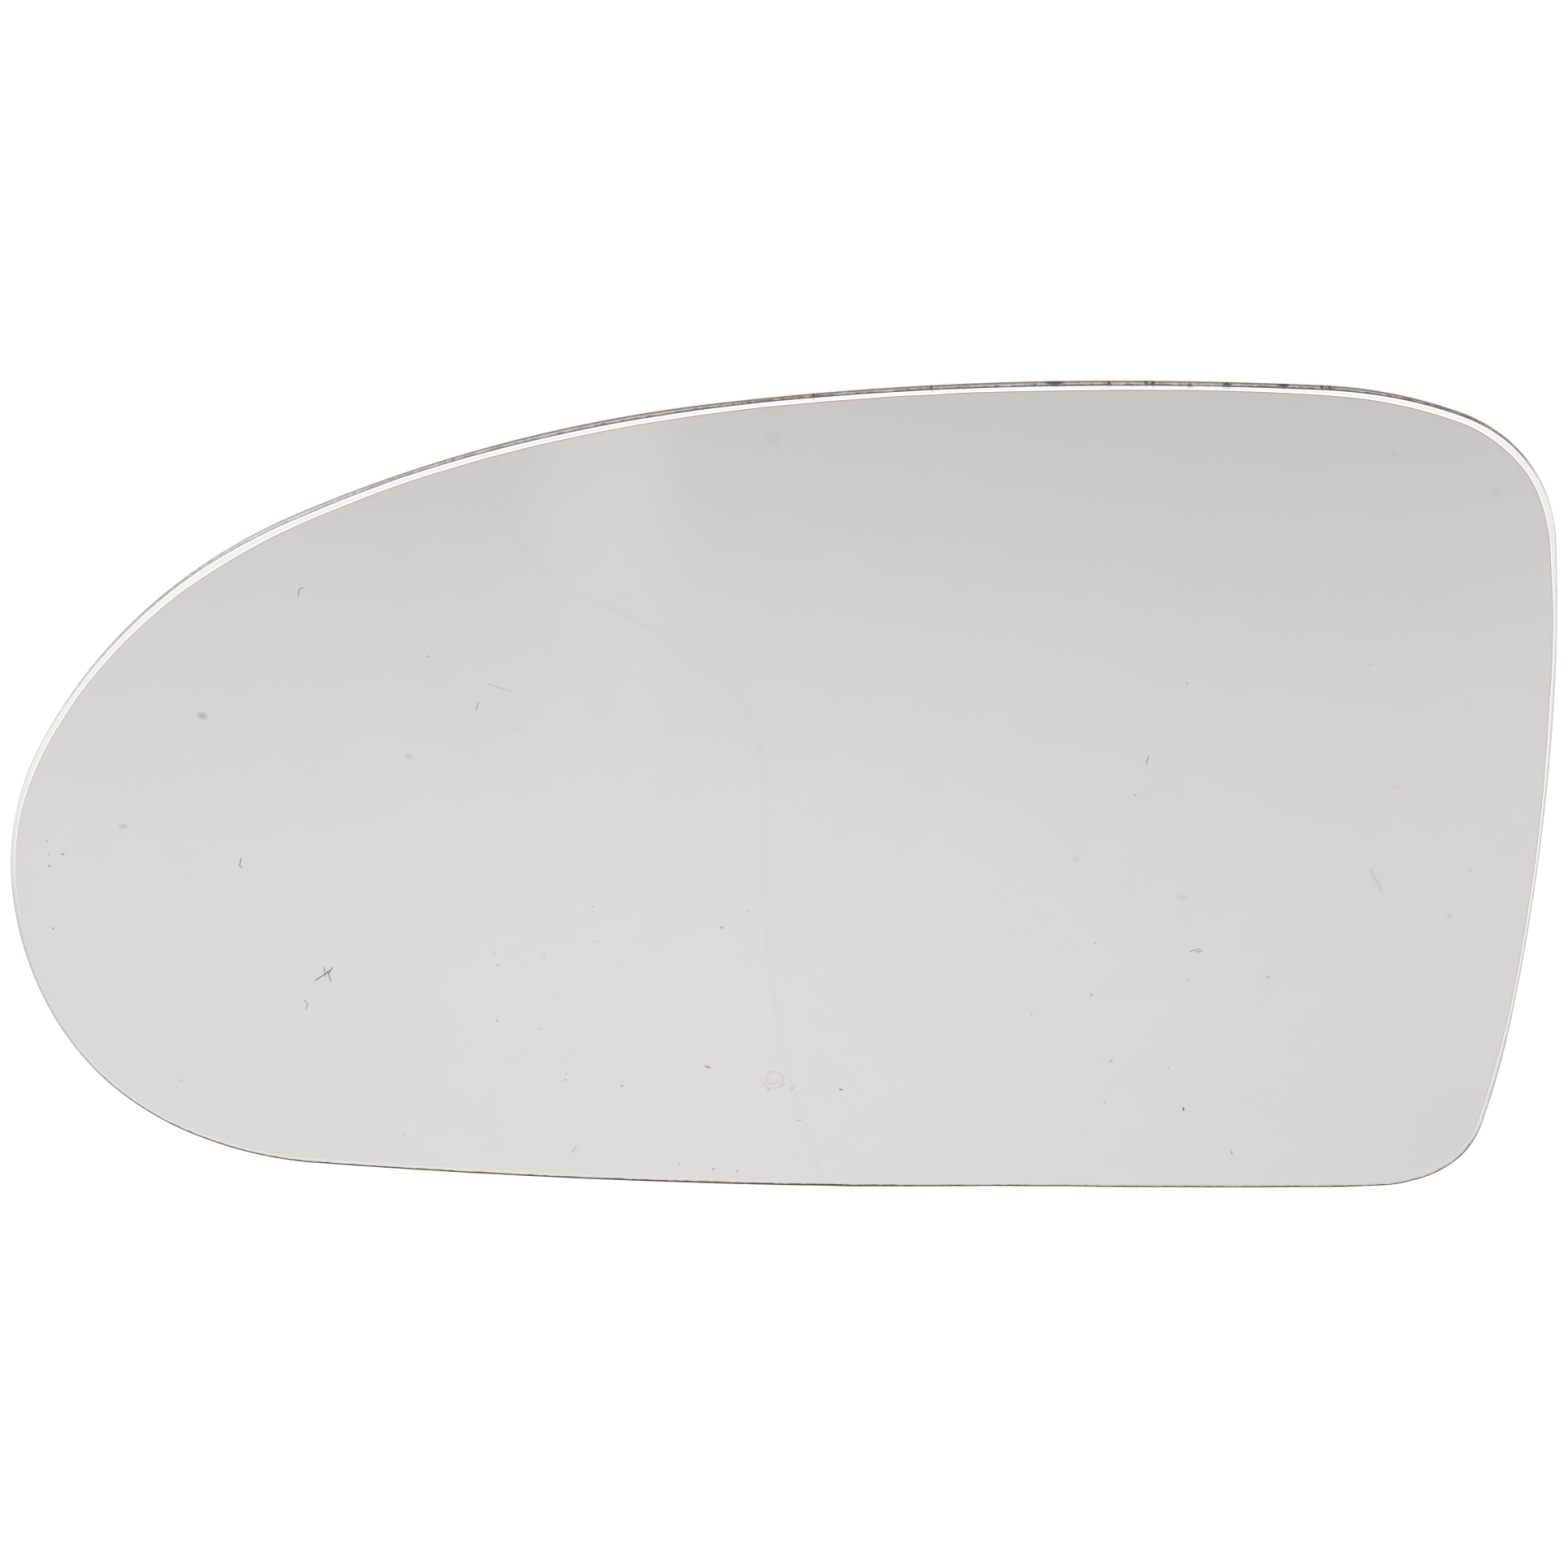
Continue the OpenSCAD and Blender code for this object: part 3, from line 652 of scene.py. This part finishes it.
def cut_edge():
    """Scored and broken glass edge: grey with a cold depth and fine upright hackle, a rough blue-black line
    with short cracks under the front arris, and a brown one along the back arris."""
    material, tree, place, arris, cracked, darkness = new_material(
        "cut_glass_edge", "arris_mm", "cracked", "arris_dark")
    height = node(tree, "ShaderNodeSeparateXYZ", {0: place}).outputs["Z"]

    # Upright hackle: marks about 0.5 mm apart along the edge, ten times as tall.
    upright = node(tree, "ShaderNodeVectorMath", {0: place, 1: (2, 2, 0.2)}, operation="MULTIPLY").outputs[0]
    hackle = node(tree, "ShaderNodeTexNoise", {"Vector": upright, "Scale": 1, "Detail": 4}).outputs[0]
    mix = node(tree, "ShaderNodeMapRange", {"Value": hackle, "From Min": 0.3, "From Max": 0.7}).outputs[0]
    worn = coated(tree, "#8E8A8A", (mix, "#B6B2B2"))

    # The blue-black line is ragged, in marks about 0.7 mm long. It reaches about 0.6 mm down, and a crack
    # reaches further.
    ragged = node(tree, "ShaderNodeTexNoise", {"Vector": place, "Scale": 1 / 0.7, "Detail": 4}).outputs[0]
    under = node(tree, "ShaderNodeMath", {0: ragged, 1: 1.2, 2: arris},
                 operation="MULTIPLY_ADD").outputs[0]
    dark = node(tree, "ShaderNodeMapRange", {"Value": under, "From Min": 0, "From Max": 0.14}).outputs[0]
    crack = node(tree, "ShaderNodeMapRange", {"Value": cracked, "From Min": 0, "From Max": 0.4}).outputs[0]
    dark = join(tree, [dark, crack])
    dark = node(tree, "ShaderNodeMath", {0: dark, 1: darkness}, operation="MULTIPLY").outputs[0]
    rear = node(tree, "ShaderNodeMath", {0: ragged, 1: -0.5, 2: height},
                operation="MULTIPLY_ADD").outputs[0]
    rear = node(tree, "ShaderNodeMapRange", {"Value": rear, "From Min": 0.12, "From Max": 0.45,
                                             "To Min": 1, "To Max": 0}).outputs[0]
    rear = node(tree, "ShaderNodeMath", {0: rear, 1: darkness}, operation="MULTIPLY").outputs[0]
    colour = coated(tree, "#DCDCDF", (darkness, worn), (rear, "#6E533D"), (dark, "#30343F"))
    shader = node(tree, "ShaderNodeBsdfPrincipled",
                  {"Base Color": colour, "Roughness": 0.4, "Specular IOR Level": 0.2})
    finish_material(tree, shader)
    return material


def clear_back():
    """Bare back of the sheet: the film seen through 2 mm of float glass, so it is a little greener and
    darker than the front, under a clear polished skin."""
    material, tree, place = new_material("float_glass_over_film")
    broad = node(tree, "ShaderNodeTexNoise", {"Vector": place, "Scale": 1 / 30, "Detail": 3}).outputs[0]
    film = node(tree, "ShaderNodeMapRange", {"Value": broad, "From Min": 0.3, "From Max": 0.7}).outputs[0]
    colour = coated(tree, "#A9B2AC", (film, "#B0B8B2"))
    shader = node(tree, "ShaderNodeBsdfPrincipled", {
        "Base Color": colour, "Metallic": 1, "Roughness": 0.06,
        "Coat Weight": 1, "Coat Roughness": 0.02, "Coat IOR": 1.52,
    })
    finish_material(tree, shader)
    return material


# Floor: the opal top of a light table, a hair below the glass, with a little light of its own.
FLOOR_SIZE = 20000
FLOOR_GAP = 0.05
FLOOR_GLOW = 0.3


def make_floor():
    """A flat square of pale opal acrylic."""
    half, low = FLOOR_SIZE / 2 * MM, -FLOOR_GAP * MM
    mesh = bpy.data.meshes.new("light_table")
    corners = [(-half, -half, low), (half, -half, low), (half, half, low), (-half, half, low)]
    mesh.from_pydata(corners, [], [(0, 1, 2, 3)])
    material, tree, place = new_material("opal_acrylic_table")
    # Opal acrylic is even: clouds 60 mm across are barely seen.
    cloud = node(tree, "ShaderNodeTexNoise", {"Vector": place, "Scale": 1 / 60, "Detail": 4}).outputs[0]
    colour = coated(tree, "#FAFAF9", (cloud, "#FCFCFB"))
    shader = node(tree, "ShaderNodeBsdfPrincipled",
                  {"Base Color": colour, "Roughness": 0.9, "Specular IOR Level": 0.1,
                   "Emission Color": (1, 1, 1, 1), "Emission Strength": FLOOR_GLOW})
    finish_material(tree, shader)
    mesh.materials.append(material)
    floor = bpy.data.objects.new("light_table", mesh)
    bpy.context.scene.collection.objects.link(floor)


# Camera: distance, tilt from straight down towards the top of the glass, the point it aims at, and the
# picture's size with its scale at that point.
CAMERA_DISTANCE = 900
CAMERA_TILT = 25.69
CAMERA_AIM = (0.638, 1.053)
PICTURE_SIZE = 1932
PICTURE_PX_PER_MM = 10.669
SENSOR = 36


def make_camera():
    """A long lens over the glass: lens length = sensor width * scale * distance / picture size."""
    tilt = np.radians(CAMERA_TILT)
    back = np.array([0, np.sin(tilt), np.cos(tilt)])
    up = np.array([0, np.cos(tilt), -np.sin(tilt)])
    camera = bpy.data.objects.new("camera", bpy.data.cameras.new("camera"))
    camera.data.sensor_width = SENSOR
    camera.data.lens = SENSOR * PICTURE_PX_PER_MM * CAMERA_DISTANCE / PICTURE_SIZE
    turned = np.eye(4)
    turned[:3, 0], turned[:3, 1], turned[:3, 2] = (1, 0, 0), up, back
    turned[:3, 3] = (np.array([*CAMERA_AIM, 0]) + CAMERA_DISTANCE * back) * MM
    camera.matrix_world = Matrix(turned)
    bpy.context.scene.collection.objects.link(camera)
    bpy.context.scene.camera = camera


# Light: the brightness of the tent's walls and of the dim opening straight above, and the share of it
# that is left to the right and to the left. Directions are counted rightwards and towards the bottom of
# the glass for each unit of height, so the mirror shows the part around 0.5 towards the bottom.
WALLS = 1.297
OPENING = 0.79
RIGHT_SIDE = 0.938
LEFT_SIDE = 0.962
# A pale panel above adds a little light.
PANEL = 0.08
# The opening is a soft disc that ends between two distances from straight above, each side dims between
# two directions, and the panel ends at a soft left edge, a firmer right one and low down.
OPENING_ENDS = (0.32, 0.52)
RIGHT_DIMS = (-0.013, 0.1)
LEFT_DIMS = (-0.016, -0.14)
PANEL_LEFT = (-0.042, -0.024)
PANEL_RIGHT = (-0.0195, -0.0135)
PANEL_LOW = (0.43, 0.49)
# The least height that a direction is divided by.
HORIZON = 0.001


def make_light():
    """Even, soft light from all around. Its brightness fades smoothly from the opening's to the walls',
    times what is left at each side, plus the product of the panel's fades."""
    world = bpy.data.worlds.new("light_tent")
    world.use_nodes = True
    world.cycles.sampling_method = "NONE"
    tree = world.node_tree
    tree.nodes.clear()
    way = node(tree, "ShaderNodeTexCoord").outputs["Generated"]
    parts = node(tree, "ShaderNodeSeparateXYZ", {0: way}).outputs
    high = node(tree, "ShaderNodeMath", {0: parts["Z"], 1: HORIZON}, operation="MAXIMUM").outputs[0]
    right = node(tree, "ShaderNodeMath", {0: parts["X"], 1: high}, operation="DIVIDE").outputs[0]
    up = node(tree, "ShaderNodeMath", {0: parts["Y"], 1: high}, operation="DIVIDE").outputs[0]
    down = node(tree, "ShaderNodeMath", {0: up, 1: -1}, operation="MULTIPLY").outputs[0]
    flat = node(tree, "ShaderNodeCombineXYZ", {"X": right, "Y": down}).outputs[0]
    far = node(tree, "ShaderNodeVectorMath", {0: flat}, operation="LENGTH").outputs["Value"]

    fades = [
        (far, OPENING_ENDS, OPENING, WALLS), (right, RIGHT_DIMS, 1, RIGHT_SIDE),
        (right, LEFT_DIMS, 1, LEFT_SIDE), (right, PANEL_LEFT, 0, PANEL),
        (right, PANEL_RIGHT, 1, 0), (down, PANEL_LOW, 1, 0),
    ]
    walls, right_side, left_side, panel, panel_right, panel_low = [
        node(tree, "ShaderNodeMapRange", {"Value": value, "From Min": start, "From Max": end,
                                          "To Min": before, "To Max": after},
             interpolation_type="SMOOTHSTEP").outputs[0]
        for value, (start, end), before, after in fades]
    for edge in (panel_right, panel_low):
        panel = node(tree, "ShaderNodeMath", {0: panel, 1: edge}, operation="MULTIPLY").outputs[0]
    strength = node(tree, "ShaderNodeMath", {0: walls, 1: right_side}, operation="MULTIPLY").outputs[0]
    strength = node(tree, "ShaderNodeMath", {0: strength, 1: left_side, 2: panel},
                    operation="MULTIPLY_ADD").outputs[0]
    light = node(tree, "ShaderNodeBackground", {"Color": (1, 1, 1, 1), "Strength": strength})
    node(tree, "ShaderNodeOutputWorld", {"Surface": light.outputs[0]})
    bpy.context.scene.world = world
    bpy.context.scene.view_settings.view_transform = "Standard"


make_camera()
make_light()
make_floor()
make_glass([chromed_front(), ground_seam(), cut_edge(), clear_back()])
